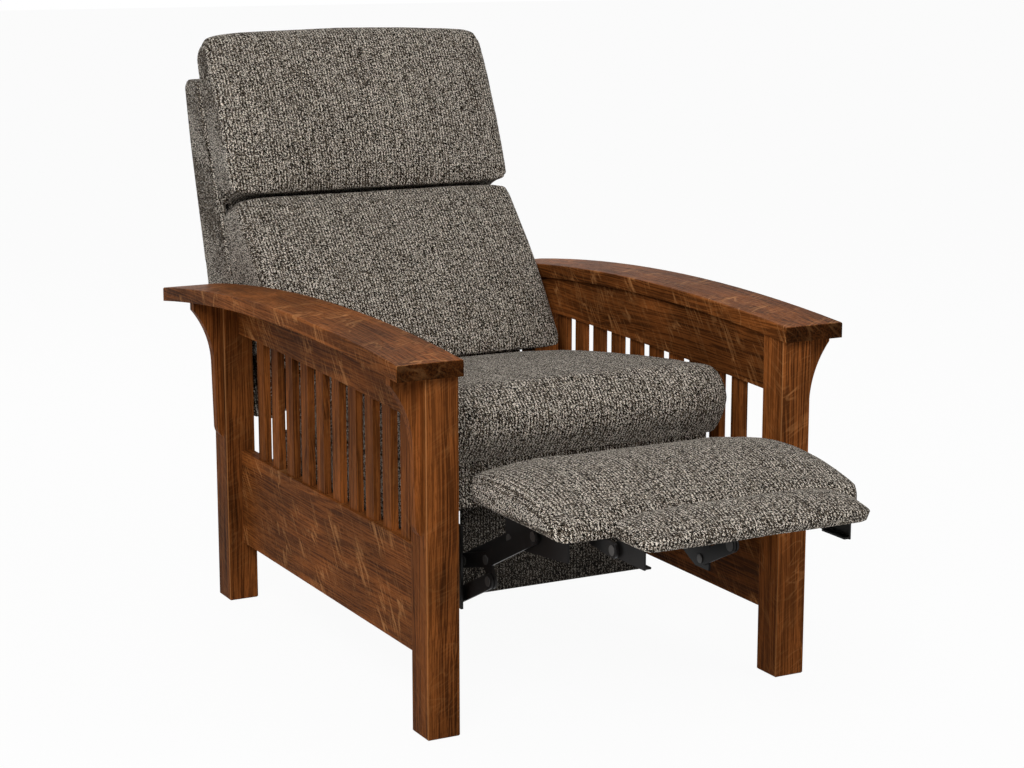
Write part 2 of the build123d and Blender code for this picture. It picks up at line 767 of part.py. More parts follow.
flipper_pivot_y = placed(flipper_pivot)
arm_span = (flipper_arm_half, flipper_arm_half - flipper_arm_thickness)
ear_span = (flipper_arm_half + plane_gap + ear_thickness, flipper_arm_half + plane_gap)
with BuildPart() as hinge_ears:
    for side_name, side in sides:
        ear_rear_y = front + ear_rear_setback
        ear_front_y = front + ear_front_setback
        with BuildSketch(Plane.YZ.offset(side * ear_span[1])) as ear_side:
            with Locations(flipper_pivot_y):
                Circle(ear_radius)
            with Locations(((ear_rear_y + ear_front_y) / 2, board_bottom - ear_depth / 2)):
                Rectangle(ear_rear_y - ear_front_y, ear_depth)
            make_hull()
            with Locations(flipper_pivot_y):
                Circle(pin_radius, mode=Mode.SUBTRACT)
        extrude(ear_side.sketch, amount=side * ear_thickness)
keep(hinge_ears, "hinge_ears")

with BuildPart() as footrest_rivets:
    for side_name, side in sides:
        rivet(side, bracket_front_y, swing_span, long_span, pin_radius, shoulder_radius, shoulder_radius,
              rivet_head_height)
        rivet(side, bracket_rear_y, swing_span, upper_span, pin_radius, shoulder_radius, loose_head_radius,
              rivet_head_height)
        rivet(side, flipper_pivot_y, ear_span, arm_span, pin_radius, shoulder_radius, shoulder_radius,
              rivet_head_height)
keep(footrest_rivets, "footrest_rivets")

# Footrest pad
pad_bottom = board_top + soft_gap
soft_piece("footrest_pad",
           [placed((pad_front_setback, pad_bottom)), placed((pad_rear_setback, pad_bottom)),
            placed((pad_rear_setback, pad_rear_top)), placed((pad_front_setback, pad_front_top))],
           (pad_end_bulge, pad_top_bulge, pad_end_bulge), (0, pad_top_crown, 0), pad_half, pad_shares)

# Flipper board with its arms, and the flipper pad
flipper_board_top = flipper_board_bottom + flipper_board_thickness
flipper_board_rear_y = front + flipper_rear_setback - flipper_board_inset
flipper_board_front_y = front + flipper_front_setback + flipper_board_inset
flipper_board_depth = flipper_board_rear_y - flipper_board_front_y
with BuildPart() as flipper_board:
    with BuildSketch(Plane.XY.offset(flipper_board_bottom)):
        with Locations((0, (flipper_board_rear_y + flipper_board_front_y) / 2)):
            RectangleRounded(2 * (flipper_half - flipper_board_inset), flipper_board_depth,
                             flipper_board_corner)
    extrude(amount=flipper_board_thickness)
keep(flipper_board, "flipper_board")

with BuildPart() as flipper_arms:
    for side_name, side in sides:
        arm_end_y = front + flipper_arm_setback
        with BuildSketch(Plane.YZ.offset(side * arm_span[1])) as arm_side:
            with Locations(flipper_pivot_y):
                Circle(ear_radius)
            with BuildLine():
                Polyline(flipper_pivot_y, (arm_end_y, flipper_arm_bottom), (arm_end_y, flipper_board_bottom),
                         (flipper_board_rear_y, flipper_board_bottom), close=True)
            make_face()
            make_hull()
            with Locations(flipper_pivot_y):
                Circle(running_radius, mode=Mode.SUBTRACT)
        extrude(arm_side.sketch, amount=side * flipper_arm_thickness)
        flange_middle = (flipper_board_rear_y + arm_end_y) / 2
        with BuildSketch(Plane.XY.offset(flipper_board_bottom)) as arm_flange:
            with Locations((side * (arm_span[1] - flipper_flange / 2), flange_middle)):
                Rectangle(flipper_flange, flipper_board_rear_y - arm_end_y)
        extrude(arm_flange.sketch, amount=-flipper_arm_thickness)
        with BuildSketch(Plane.XY.offset(flipper_arm_bottom + flipper_lip_rise)) as arm_lip:
            with Locations((side * (arm_span[1] - flipper_lip / 2), flange_middle)):
                Rectangle(flipper_lip, flipper_board_rear_y - arm_end_y)
        extrude(arm_lip.sketch, amount=flipper_arm_thickness)
keep(flipper_arms, "flipper_arms")

flipper_pad_bottom = flipper_board_top + soft_gap
flipper_corners = [placed(point) for point in (
    (flipper_front_setback, flipper_pad_bottom), (flipper_rear_setback, flipper_pad_bottom),
    (flipper_rear_setback, flipper_rear_top), (flipper_front_setback, flipper_front_top))]
soft_piece("flipper_pad", flipper_corners,
           (flipper_rear_bulge, flipper_top_bulge, flipper_end_bulge), (0, flipper_top_crown, 0),
           flipper_half, flipper_shares)

# Back frame: two stiles and two rails on the leaning plane
back_plane = Plane(origin=(0, front + back_foot[0], back_foot[1]), x_dir=(1, 0, 0),
                   z_dir=(0, -cos(back_lean), sin(back_lean)))
stile_inner_half = stile_outer_half - stile_width
with BuildPart() as back_stiles:
    with BuildSketch(back_plane):
        for side_name, side in sides:
            with Locations((side * (stile_outer_half + stile_inner_half) / 2, frame_height / 2)):
                Rectangle(stile_width, frame_height)
    extrude(amount=-stile_thickness)
keep(back_stiles, "back_stiles")

for rail_name, rail_slope, rail_height in (("top", frame_height - top_rail_height, top_rail_height),
                                           ("bottom", bottom_rail_slope, bottom_rail_height)):
    with BuildPart() as back_rail:
        with BuildSketch(back_plane):
            with Locations((0, rail_slope + rail_height / 2)):
                Rectangle(2 * stile_inner_half, rail_height)
        extrude(amount=-stile_thickness)
    keep(back_rail, f"back_{rail_name}_rail")

# Upholstered shell around the rear and sides of the frame
with BuildPart() as back_shell:
    with BuildSketch(Plane.YZ.offset(-back_half)):
        with BuildLine():
            shell_foot = back_point((shell_bottom_rear[1] - back_foot[1]) / cos(back_lean), 0)
            shell_rear = [placed(point) for point in (shell_bottom_rear, shell_rear_top, shell_crest_rear)]
            Polyline(back_point(shell_top_slope, 0), shell_foot, shell_rear[0])
            ThreePointArc(shell_rear[0], bulged(shell_rear[0], shell_rear[1], shell_rear_bulge),
                          shell_rear[1])
            ThreePointArc(shell_rear[1], bulged(shell_rear[1], shell_rear[2], shell_crest_bulge),
                          shell_rear[2])
            Line(shell_rear[2], back_point(shell_top_slope, 0))
        make_face()
    extrude(amount=2 * back_half)
    shell_ends = back_shell.faces().filter_by(Plane.YZ)
    fillet([edge for edge in shell_ends.edges() if edge.center().Y > placed(back_foot)[0] + shell_edge_least
            and edge.length > shell_edge_least], shell_ease)
    with BuildSketch(back_plane) as pocket:
        with Locations((0, (frame_height + shell_clearance - cut_overrun) / 2)):
            Rectangle(2 * (stile_outer_half + shell_clearance), frame_height + shell_clearance + cut_overrun)
    extrude(pocket.sketch, amount=-stile_thickness - shell_clearance, mode=Mode.SUBTRACT)
keep(back_shell, "back_shell")

# Lumbar and head pillows on the frame's front face
soft_piece("lumbar_pillow",
           [back_point(lumbar_bottom_slope, -soft_gap), back_point(lumbar_top_slope, -soft_gap),
            placed(lumbar_front_top), placed(lumbar_front_bottom)],
           (seam_bulge, lumbar_front_bulge, lumbar_bottom_bulge), (0, lumbar_front_crown, 0),
           back_half, cushion_shares)
soft_piece("head_pillow",
           [back_point(head_bottom_slope, -soft_gap), back_point(head_top_slope, -soft_gap),
            placed(head_rear_top), placed(head_crest), placed(head_front_top), placed(head_front_bottom)],
           (head_rear_bulge, head_crest_bulge, head_crest_bulge, head_front_bulge, -seam_bulge),
           (0, 0, 0, head_front_crown, 0), back_half, cushion_shares)

# Hinge brackets from the back's pivot to the stiles' inner faces
with BuildPart() as hinge_brackets:
    for side_name, side in sides:
        foot_corners = [back_point(hinge_plate_slope, 0), back_point(hinge_plate_slope, stile_thickness),
                        back_point(hinge_plate_slope + hinge_plate_height, stile_thickness),
                        back_point(hinge_plate_slope + hinge_plate_height, 0)]
        with BuildSketch(Plane.YZ.offset(side * hinge_span[1])) as hinge_side:
            with BuildLine():
                Polyline(*foot_corners, close=True)
            make_face()
            with Locations(recline_y):
                Circle(recline_ear_radius)
            make_hull()
            with Locations(recline_y):
                Circle(recline_pin_radius + pin_clearance, mode=Mode.SUBTRACT)
        extrude(hinge_side.sketch, amount=side * plate_thickness)
        with BuildSketch(Plane.YZ.offset(side * hinge_span[0])) as foot_pad:
            with BuildLine():
                Polyline(*foot_corners, close=True)
            make_face()
        extrude(foot_pad.sketch, amount=side * (stile_inner_half - hinge_span[0]))
keep(hinge_brackets, "hinge_brackets")
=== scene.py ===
"""Mission reclining armchair: stained oak, tweed upholstery and a black folding linkage."""

from math import pi, radians

import bpy
import numpy as np
from bpy.props import FloatProperty, FloatVectorProperty, IntProperty, PointerProperty
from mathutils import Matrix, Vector


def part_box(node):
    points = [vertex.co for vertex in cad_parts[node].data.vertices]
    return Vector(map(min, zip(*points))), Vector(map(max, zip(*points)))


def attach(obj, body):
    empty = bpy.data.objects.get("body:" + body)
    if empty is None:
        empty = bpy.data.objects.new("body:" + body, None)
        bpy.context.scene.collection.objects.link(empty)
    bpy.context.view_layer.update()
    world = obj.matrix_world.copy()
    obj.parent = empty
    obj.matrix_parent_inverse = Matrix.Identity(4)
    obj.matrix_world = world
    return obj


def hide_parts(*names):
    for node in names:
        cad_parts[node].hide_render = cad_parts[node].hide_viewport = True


bl_info = {
    "name": "Mission Reclining Armchair",
    "version": (1, 0, 0),
    "blender": (4, 5, 0),
    "location": "View3D > Sidebar > Armchair",
    "description": "Dresses a mission reclining armchair with oak, tweed and steel",
    "category": "Object",
}

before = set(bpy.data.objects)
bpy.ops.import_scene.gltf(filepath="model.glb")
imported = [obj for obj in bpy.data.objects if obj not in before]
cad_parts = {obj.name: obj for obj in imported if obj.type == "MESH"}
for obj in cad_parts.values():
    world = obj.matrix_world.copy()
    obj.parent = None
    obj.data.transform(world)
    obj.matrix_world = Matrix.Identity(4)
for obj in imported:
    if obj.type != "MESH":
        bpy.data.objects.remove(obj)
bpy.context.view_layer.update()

X, Y, Z = range(3)
SIDES = ("left", "right")
ENDS = ("front", "rear")

# Pitches of the oak's patterns per metre: along the grain and twice across it
GRAIN_DRIFT = (2.2, 7.0, 7.0)
GRAIN_RINGS = (5.0, 380.0, 380.0)
GRAIN_BANDS = (1.1, 30.0, 30.0)
GRAIN_PORES = (60.0, 700.0, 700.0)
GRAIN_CLOUD = (5.0, 9.0, 9.0)
RAY_RIBBONS = (17.0, 7.0, 7.0)
RAY_THREADS = (230.0, 22.0, 22.0)
RAY_PATCHES = (16.0, 16.0, 16.0)
DRIFT_REACH = 0.03
RING_SHARE = 0.62

# The oak's darkened end faces, partly dark end grain and partly painted shade, and the painted
# highlight along the legs' arrises with where it starts and ends
CUT_DEPTH = 0.0012
CUT_EDGE = 0.0004
CUT_GRAIN_AND_PAINTED_SHADE = (0.22, 0.22, 0.22)
ARRIS_HIGHLIGHT_INNER = 0.0022
ARRIS_HIGHLIGHT_OUTER = 0.0008
ARRIS_HIGHLIGHT_SHARE = 0.55

# Pitches of the tweed's patterns per metre, along X, Y and Z
YARN_WANDER = (60.0, 60.0, 60.0)
YARN_ROWS = (250.0, 6.0, 6.0)
YARN_CLOUD = (9.0, 9.0, 9.0)
YARN_LEAN = 0.45
YARN_WANDER_REACH = 1.2

# Pitches of the other finishes' patterns per metre, the webbing's in radians
PAINT_MOTTLE = (14.0, 14.0, 14.0)
PAINT_GRAIN = (900.0, 900.0, 900.0)
PAINT_RUBBING = (60.0, 60.0, 60.0)
WOOD_LINES = (8.0, 120.0, 160.0)
WOOD_CLOUD = (6.0, 12.0, 12.0)
STRAP_RIBS = 900.0
STRAP_PICKS = 1500.0
FLOOR_SPECK = (3.0, 3.0, 1.0)

# The cushions: how the filling's push is capped, what is held still, and how the top is lifted
PUSH_RISE = 1.4
SINK_SHARE = 0.25
RIM_WIDTH = 0.6
RESTING = 0.9
LIFT_RISE = 1.3
END_POWER = 2.5
BOARD_LIFT = 0.003

# The stage: each lamp's name, place, size and power, and the camera
LAMPS = (
    ("key", (-2.6, -3.3, 3.4), 2.4, 162.0),
    ("fill", (2.6, -2.2, 3.8), 2.4, 40.0),
    ("rim", (0.4, 2.8, 2.8), 2.0, 30.0),
)
LAMP_TARGET = (0.0, 0.0, 0.45)
AIR_LEVEL = 0.31
FLOOR_SIZE = 60.0
FLOOR_GLOW = 0.95
CAMERA_PLACE = (-1.8292, -3.4553, 1.2595)
CAMERA_TURN = (78.54, 0.0, -27.98)
CAMERA_LENS = 79.9
CAMERA_FILM = 36.0
BACKGROUND_RAYS = ("Is Camera Ray", "Is Glossy Ray", "Is Transmission Ray")


def stain(red, green, blue):
    """A colour picked on a screen, 0 to 255, as the linear colour that a shader takes."""
    return tuple(
        level / 12.92 if level <= 0.04045 else ((level + 0.055) / 1.055) ** 2.4
        for level in (red / 255, green / 255, blue / 255)
    )


def colour_property(name, description, colour):
    return FloatVectorProperty(
        name=name, description=description, default=colour, subtype="COLOR", min=0.0, max=1.0
    )


def length_property(name, description, length):
    return FloatProperty(name=name, description=description, default=length, unit="LENGTH")


class ChairColours(bpy.types.PropertyGroup):
    oak_body: colour_property("Oak", "Stained oak between its grain lines", stain(138, 80, 38))
    oak_grain: colour_property("Grain", "Dark grain lines of the oak", stain(64, 34, 14))
    oak_ray: colour_property(
        "Ray fleck", "Pale ray flecks of quartersawn oak", stain(172, 118, 72)
    )
    tweed_dark: colour_property("Dark yarn", "Dark ground between the nubs", stain(15, 11, 8))
    tweed_middle: colour_property("Middle yarn", "Middle nubs of the tweed", stain(164, 148, 130))
    tweed_light: colour_property("Light yarn", "Lightest nubs of the tweed", stain(255, 245, 230))
    steel_paint: colour_property(
        "Steel paint", "Satin black paint of the linkage", stain(20, 18, 17)
    )
    worn_steel: colour_property(
        "Worn steel", "Rubbed heads of the rivets and pins", stain(84, 82, 80)
    )
    zinc: colour_property("Zinc", "Zinc plating of the screws", stain(176, 176, 172))
    bare_wood: colour_property("Bare wood", "Hidden frame and boards", stain(196, 160, 112))
    webbing: colour_property("Webbing", "Seat webbing", stain(70, 62, 52))
    nylon: colour_property("Nylon", "Glide shoes", stain(205, 200, 188))
    floor: colour_property("Floor", "Pale floor", (0.8, 0.8, 0.8))


class ChairSizes(bpy.types.PropertyGroup):
    nub_width: length_property("Nub width", "Width of a yarn nub across its row", 0.0015)
    nub_length: length_property("Nub length", "Length of a yarn nub along its row", 0.0029)
    row_width: length_property("Row width", "Width of a row of nubs", 0.0058)
    slimming: length_property("Slimming", "How much smaller a cushion starts than its space", 0.004)
    proud: length_property("Swell", "How far a filled cushion may stand over its space", 0.006)
    rumple_spacing: length_property("Rumple spacing", "Distance between a cover's rumples", 0.11)
    rumple_height: length_property("Rumple height", "Height of a cover's rumples", 0.0022)
    seam_inset: length_property("Seam inset", "Distance of a seam from a cushion's end", 0.006)
    seam_depth: length_property("Seam depth", "Depth of a seam's valley", 0.0028)
    seam_reach: length_property("Seam reach", "Half width of a seam's valley", 0.005)
    panel_hem: length_property("Panel hem", "How far the front panel's cover hangs down", 0.009)
    pressure: FloatProperty(
        name="Filling pressure", description="Pressure of the filling on its cover", default=4.0
    )
    settle_frames: IntProperty(
        name="Settling", description="Frames that the filling settles for", default=20, min=2
    )


def colours():
    return bpy.context.scene.chair_colours


def sizes():
    return bpy.context.scene.chair_sizes


def grey(level):
    return (level, level, level)


# Shader building


class Shade:
    """A node's output socket that takes part in Python expressions through Math nodes."""

    def __init__(self, finish, socket):
        self.finish = finish
        self.socket = socket

    def maths(self, operation, *others):
        node = self.finish.node(
            "ShaderNodeMath", {"operation": operation}, dict(enumerate((self, *others)))
        )
        return Shade(self.finish, node.outputs[0])

    def reflected(self, operation, other):
        node = self.finish.node("ShaderNodeMath", {"operation": operation}, {0: other, 1: self})
        return Shade(self.finish, node.outputs[0])

    def __add__(self, other):
        return self.maths("ADD", other)

    def __radd__(self, other):
        return self.reflected("ADD", other)

    def __sub__(self, other):
        return self.maths("SUBTRACT", other)

    def __rsub__(self, other):
        return self.reflected("SUBTRACT", other)

    def __mul__(self, other):
        return self.maths("MULTIPLY", other)

    def __rmul__(self, other):
        return self.reflected("MULTIPLY", other)

    def step(self, low, high):
        """0 below low, 1 above high and a smooth rise between them."""
        node = self.finish.node(
            "ShaderNodeMapRange",
            {"interpolation_type": "SMOOTHSTEP"},
            {"Value": self, "From Min": low, "From Max": high},
        )
        return Shade(self.finish, node.outputs["Result"])


class Finish:
    """A material in the making, with one principled surface."""

    def __init__(self, name, roughness, **constants):
        self.material = bpy.data.materials.new(name)
        self.material.use_nodes = True
        self.tree = self.material.node_tree
        self.surface = self.tree.nodes["Principled BSDF"]
        self.surface.inputs["Roughness"].default_value = roughness
        for socket, value in constants.items():
            self.surface.inputs[socket.replace("_", " ")].default_value = value

    def node(self, kind, settings=None, sockets=None):
        made = self.tree.nodes.new(kind)
        for setting, value in (settings or {}).items():
            setattr(made, setting, value)
        for socket, value in (sockets or {}).items():
            if isinstance(value, Shade):
                self.tree.links.new(value.socket, made.inputs[socket])
            else:
                made.inputs[socket].default_value = value
        return made

    def out(self, kind, output, settings=None, sockets=None):
        return Shade(self, self.node(kind, settings, sockets).outputs[output])

    def place(self):
        """X, Y and Z of the surface point, in metres."""
        spot = self.out("ShaderNodeTexCoord", "Object")
        parts = self.node("ShaderNodeSeparateXYZ", {}, {"Vector": spot})
        return [Shade(self, socket) for socket in parts.outputs]

    def vector(self, x, y, z):
        return self.out("ShaderNodeCombineXYZ", "Vector", {}, {"X": x, "Y": y, "Z": z})

    def noise(self, spot, pitches, detail=2.0, distortion=0.0):
        """Soft noise with a pitch of its own per metre along each of the spot's three axes."""
        vector = self.vector(*(length * pitch for length, pitch in zip(spot, pitches)))
        return self.out(
            "ShaderNodeTexNoise",
            "Fac",
            {"noise_dimensions": "3D"},
            {"Vector": vector, "Scale": 1.0, "Detail": detail, "Distortion": distortion},
        )

    def mix(self, factor, first, second, blend="MIX"):
        """The colour first at factor 0 and second at factor 1."""
        return self.out(
            "ShaderNodeMix",
            2,
            {"data_type": "RGBA", "blend_type": blend, "clamp_factor": True},
            {
                0: factor,
                6: first if isinstance(first, Shade) else (*first, 1.0),
                7: second if isinstance(second, Shade) else (*second, 1.0),
            },
        )

    def tinted(self, colour, tint):
        """The colour times a tint, which may be over 1."""
        return self.mix(1.0, colour, tint, "MULTIPLY")

    def wear(self, colour, roughness=None, height=None, depth=0.0005, strength=1.0):
        """Links what changes over the surface."""
        self.tree.links.new(colour.socket, self.surface.inputs["Base Color"])
        if roughness is not None:
            self.tree.links.new(roughness.socket, self.surface.inputs["Roughness"])
        if height is not None:
            bump = self.out(
                "ShaderNodeBump",
                "Normal",
                {},
                {"Height": height, "Distance": depth, "Strength": strength},
            )
            self.tree.links.new(bump.socket, self.surface.inputs["Normal"])
        return self.material


# Finishes


def oak(name, along, fleck, tone=1.0, shift=0.0, cuts=(), corners=()):
    """Quartersawn oak with its grain along one axis, and slanted ray flecks across it.

    cuts are the board's two ends along the grain, which are darker: partly end grain and partly
    painted shade. corners are the legs' middle, their distance from it and their half width, in
    X and then Y, where a painted highlight runs along their arrises.
    """
    finish = Finish(name, 0.45, Specular_IOR_Level=0.012)
    palette = colours()
    place = finish.place()
    length = place[along] + shift
    across = [place[axis] for axis in (X, Y, Z) if axis != along]
    drift = (finish.noise((length, *across), GRAIN_DRIFT) - 0.5) * DRIFT_REACH
    first = across[0] + drift
    second = across[1] + drift + shift
    spot = (length, first, second)
    slanted = (length - first * 0.5 - second * 0.7, first, second)

    rings = finish.noise(spot, GRAIN_RINGS, detail=3.0, distortion=0.1)
    bands = finish.noise(spot, GRAIN_BANDS, distortion=0.4)
    lines = rings.step(0.41, 0.59) * RING_SHARE + bands.step(0.3, 0.7) * (1.0 - RING_SHARE)
    grain = finish.mix(lines, palette.oak_grain, palette.oak_body)

    ribbons = finish.noise(slanted, RAY_RIBBONS, distortion=0.8)
    ribbons = 1.0 - (ribbons - 0.5).maths("ABSOLUTE").step(0.003, 0.027)
    threads = finish.noise(slanted, RAY_THREADS, detail=1.0, distortion=0.4).step(0.54, 0.66)
    patches = finish.noise(spot, RAY_PATCHES).step(0.44, 0.62)
    flecks = ribbons * patches * 0.75 + threads * (0.16 + patches * 0.4)
    rayed = finish.mix(flecks * fleck, grain, palette.oak_ray)

    pores = finish.noise(spot, GRAIN_PORES, detail=1.0).step(0.55, 0.7)
    pored = finish.mix(pores * 0.5, rayed, palette.oak_grain)
    cloud = finish.noise(spot, GRAIN_CLOUD).step(0.32, 0.68)
    # tone scales the whole oak; the right legs' high tone is painted light
    pale = (1.18 * tone, 1.15 * tone, 1.1 * tone)
    toned = finish.tinted(pored, finish.mix(cloud, grey(0.74 * tone), pale))
    # The end faces along the grain are darkened: partly the oak's dark end grain, partly painted
    # shade on the arms' front ends, which face away from the lamps
    if cuts:
        low, high = cuts
        inner = (place[along] - low - CUT_DEPTH).step(-CUT_EDGE, CUT_EDGE)
        inner = inner * (high - CUT_DEPTH - place[along]).step(-CUT_EDGE, CUT_EDGE)
        toned = finish.mix(inner, finish.tinted(toned, CUT_GRAIN_AND_PAINTED_SHADE), toned)
    # Painted highlight: a pale band in the ray colour along each leg's arrises, standing in for
    # light catching the corners
    if corners:
        wear_and_highlight = ARRIS_HIGHLIGHT_SHARE
        for offset, (middle, reach, half) in zip(place, corners):
            offset = ((offset - middle).maths("ABSOLUTE") - reach).maths("ABSOLUTE")
            wear_and_highlight = offset.step(half - ARRIS_HIGHLIGHT_INNER, half - ARRIS_HIGHLIGHT_OUTER) * wear_and_highlight
        toned = finish.mix(wear_and_highlight, toned, palette.oak_ray)
    return finish.wear(
        toned,
        roughness=0.4 + pores * 0.14 + (1.0 - rings) * 0.06,
        height=0.5 + rings * 0.25 - pores * 0.5,
        depth=0.0003,
        strength=0.5,
    )


def tweed(name, tone=1.0):
    """Nubbly tweed: leaning middle and light nubs in rows, on a dark ground."""
    finish = Finish(name, 0.95, Sheen_Weight=0.03, Sheen_Roughness=0.5, Specular_IOR_Level=0.05)
    palette = colours()
    measure = sizes()
    spot = finish.place()
    x, y, z = spot
    across, along = 1.0 / measure.nub_width, 1.0 / measure.nub_length
    wander = finish.noise(spot, YARN_WANDER, detail=1.0)
    lean = (x + (y + z) * YARN_LEAN) * across + wander * YARN_WANDER_REACH
    column = lean.maths("FLOOR")
    slip = finish.out("ShaderNodeTexWhiteNoise", "Value", {"noise_dimensions": "1D"}, {"W": column})
    nub = finish.node(
        "ShaderNodeTexVoronoi",
        {"feature": "F1"},
        {
            "Vector": finish.vector(lean, y * along + slip * 3.0, z * along + slip * 7.0),
            "Scale": 1.0,
            "Randomness": 0.85,
        },
    )
    lot = finish.out("ShaderNodeSeparateColor", 0, {}, {0: Shade(finish, nub.outputs["Color"])})
    edge = Shade(finish, nub.outputs["Distance"])
    rows = finish.noise(spot, YARN_ROWS, detail=1.0)
    cloud = finish.noise(spot, YARN_CLOUD)
    cord = (x * (2.0 * pi / measure.row_width) + wander * 2.0 + cloud * 6.0).maths("SINE")
    lift = lot + (rows - 0.5) * 0.8 + cord * 0.32 + (cloud - 0.5) * 0.08
    yarn = finish.mix(lift.step(0.3, 0.75), palette.tweed_middle, palette.tweed_light)
    core = (1.0 - edge.step(0.28, 0.58)) * (0.4 + lift.step(0.05, 0.5) * 0.6)
    # A tone below 1 darkens the whole tweed; the front panel's cover uses it as painted shade
    toned = finish.tinted(finish.mix(core, palette.tweed_dark, yarn), grey(tone))
    return finish.wear(toned, height=(1.0 - edge) * 0.8 + lot * 0.4, depth=0.0009, strength=0.8)


def paint(name, colour, roughness, fleck, **constants):
    """A plain painted, plated or moulded surface with fine mottling and worn, paler spots."""
    finish = Finish(name, roughness, **constants)
    spot = finish.place()
    broad = finish.noise(spot, PAINT_MOTTLE, detail=3.0)
    fine = finish.noise(spot, PAINT_GRAIN, detail=1.0)
    wear_and_highlight = finish.noise(spot, PAINT_RUBBING, detail=4.0, distortion=0.6).step(0.6, 0.78)
    pale = tuple(min(1.0, level * (1.0 + fleck) + 0.03 * fleck) for level in colour)
    dark = tuple(level * 0.78 for level in colour)
    body = finish.mix(broad.step(0.3, 0.7), dark, tuple(colour))
    return finish.wear(
        finish.mix(wear_and_highlight * 0.6, body, pale),
        roughness=roughness + (broad - 0.5) * 0.16 + wear_and_highlight * 0.08,
        height=fine * 0.5 + broad,
        depth=0.0002,
        strength=0.25,
    )


def bare_wood(name):
    """Unfinished hardwood of the hidden frame."""
    finish = Finish(name, 0.62)
    spot = finish.place()
    lines = finish.noise(spot, WOOD_LINES, detail=3.0, distortion=0.3)
    cloud = finish.noise(spot, WOOD_CLOUD)
    pale = tuple(colours().bare_wood)
    dark = tuple(level * share for level, share in zip(pale, (0.68, 0.6, 0.5)))
    return finish.wear(
        finish.mix(lines.step(0.35, 0.7) * 0.7 + cloud * 0.3, dark, pale),
        roughness=0.56 + lines * 0.14,
        height=lines,
        depth=0.0003,
        strength=0.4,
    )


def strap(name):
    """Woven webbing with its ribs along Y."""
    finish = Finish(name, 0.85)
    place = finish.place()
    ribs = (place[X] * STRAP_RIBS).maths("SINE") * 0.5 + 0.5
    picks = (place[Y] * STRAP_PICKS).maths("SINE") * 0.5 + 0.5
    pale = tuple(colours().webbing)
    dark = tuple(level * 0.45 for level in pale)
    return finish.wear(
        finish.mix(ribs * 0.6 + picks * 0.4, dark, pale),
        roughness=0.8 + picks * 0.1,
        height=ribs * picks,
        depth=0.0006,
        strength=0.8,
    )


def finish_named(name, make, *inputs, **named):
    """The material of that name, made on its first use."""
    return bpy.data.materials.get(name) or make(name, *inputs, **named)


def dress(nodes, material):
    """Gives CAD nodes a better material in their own slots."""
    for node in nodes:
        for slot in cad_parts[node].material_slots:
            slot.link = "OBJECT"
            slot.material = material


# Modelling


def alone(piece):
    """Only this piece selected and active, in object mode."""
    bpy.ops.object.select_all(action="DESELECT")
    piece.select_set(True)
    bpy.context.view_layer.objects.active = piece


def points(piece):
    values = np.empty(len(piece.data.vertices) * 3)
    piece.data.vertices.foreach_get("co", values)
    return values.reshape(-1, 3)


def normals(piece):
    values = np.empty(len(piece.data.vertices) * 3, np.float32)
    piece.data.vertex_normals.foreach_get("vector", values)
    return values.reshape(-1, 3).astype(float)


def set_points(piece, values):
    piece.data.vertices.foreach_set("co", values.astype(np.float32).ravel())
    piece.data.update()


def applied(piece, kind, **settings):
    """Adds a modifier and applies it."""
    alone(piece)
    modifier = piece.modifiers.new(kind.title(), kind)
    for setting, value in settings.items():
        setattr(modifier, setting, value)
    bpy.ops.object.modifier_apply(modifier=modifier.name)


def copied(node, name):
    """A merged copy of a node's mesh, as a new piece."""
    piece = bpy.data.objects.new(name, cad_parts[node].data.copy())
    bpy.context.scene.collection.objects.link(piece)
    alone(piece)
    piece.data.materials.clear()
    bpy.ops.object.mode_set(mode="EDIT")
    bpy.ops.mesh.select_all(action="SELECT")
    bpy.ops.mesh.remove_doubles(threshold=0.00002)
    bpy.ops.mesh.normals_make_consistent(inside=False)
    bpy.ops.object.mode_set(mode="OBJECT")
    piece.data.normals_split_custom_set_from_vertices([(0, 0, 0)] * len(piece.data.vertices))
    return piece


def filled(piece, held):
    """Lets the filling push the cover out from the vertices that seams and boards hold."""
    alone(piece)
    group = piece.vertex_groups.new(name="held")
    group.add([int(number) for number in np.flatnonzero(held)], 1.0, "REPLACE")
    cloth = piece.modifiers.new("Filling", "CLOTH")
    cover = cloth.settings
    cover.vertex_group_mass = group.name
    cover.quality = 5
    cover.mass = 0.3
    cover.tension_stiffness = 18.0
    cover.compression_stiffness = 18.0
    cover.shear_stiffness = 8.0
    cover.bending_stiffness = 1.2
    cover.use_pressure = True
    cover.uniform_pressure_force = sizes().pressure
    cover.effector_weights.gravity = 0.0
    cloth.collision_settings.use_collision = False
    cloth.collision_settings.use_self_collision = False
    cloth.point_cache.frame_start = 1
    cloth.point_cache.frame_end = sizes().settle_frames
    for number in range(1, sizes().settle_frames + 1):
        bpy.context.scene.frame_set(number)
    bpy.ops.object.modifier_apply(modifier=cloth.name)
    bpy.context.scene.frame_set(1)
    piece.vertex_groups.clear()


def swelled(full, moved, direction, exposed, proud):
    """The full form with the filling's push, capped to what shows: none where the cover rests."""
    facing = direction @ (np.array(exposed) / np.linalg.norm(exposed))
    limit = proud * np.clip(facing * PUSH_RISE, 0.0, 1.0)
    push = np.clip(np.sum(moved * direction, axis=1), -SINK_SHARE * limit, limit)
    return full + direction * push[:, None]


def seamed(piece, gaps):
    """Pulls the cover in along a seam; gaps holds each vertex's distance from it."""
    valley = np.exp(-((gaps / sizes().seam_reach) ** 2)) * sizes().seam_depth
    set_points(piece, points(piece) - normals(piece) * valley[:, None])


def finished(piece, body, material, *replaced):
    """Gives a new piece its finish and its body, in place of its nodes."""
    piece.data.materials.append(material)
    alone(piece)
    bpy.ops.object.shade_smooth()
    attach(piece, body)
    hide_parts(*replaced)


